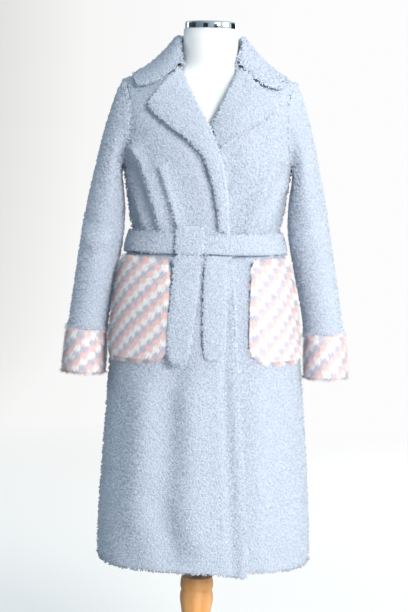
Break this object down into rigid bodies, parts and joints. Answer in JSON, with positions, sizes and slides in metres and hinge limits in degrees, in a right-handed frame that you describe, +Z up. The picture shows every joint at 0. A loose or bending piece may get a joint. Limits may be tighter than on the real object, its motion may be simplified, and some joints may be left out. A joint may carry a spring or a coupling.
{
  "type": "belted coat on a dress form",
  "caption": "Long belted wrap coat in curly pile, with notched collar, patch pockets and deep cuffs in check pile, on a limbless dress form with a turned wooden stand.",
  "frame": {"origin": "centre of the stand's underside, on the floor", "axes": "+Z up, -Y the way the coat's front faces, +X towards the wearer's left"},
  "size_m": [0.636, 0.42, 1.5705],
  "materials": {
    "curly_blue_pile": "matte curly pile",
    "check_pile": "matte long pile in a three-colour check",
    "white_form": "smooth white, satin",
    "chrome": "polished",
    "turned_wood": "clear varnish"
  },
  "bodies": {
    "root": {"back": "curly_blue_pile", "front_right": "curly_blue_pile", "front_left": "curly_blue_pile", "sleeve_right": "curly_blue_pile", "sleeve_left": "curly_blue_pile", "collar": "curly_blue_pile", "lapel_right": "curly_blue_pile", "lapel_left": "curly_blue_pile", "belt_band": "curly_blue_pile", "belt_knot": "curly_blue_pile", "belt_end_right": "curly_blue_pile", "belt_end_left": "curly_blue_pile", "cuff_right": "check_pile", "cuff_left": "check_pile", "pocket_right": "check_pile", "pocket_left": "check_pile", "form_torso": "white_form", "form_neck_ring": "chrome", "stand_pole": "chrome", "stand_post": "turned_wood", "stand_base": "turned_wood"}
  },
  "joints": []
}
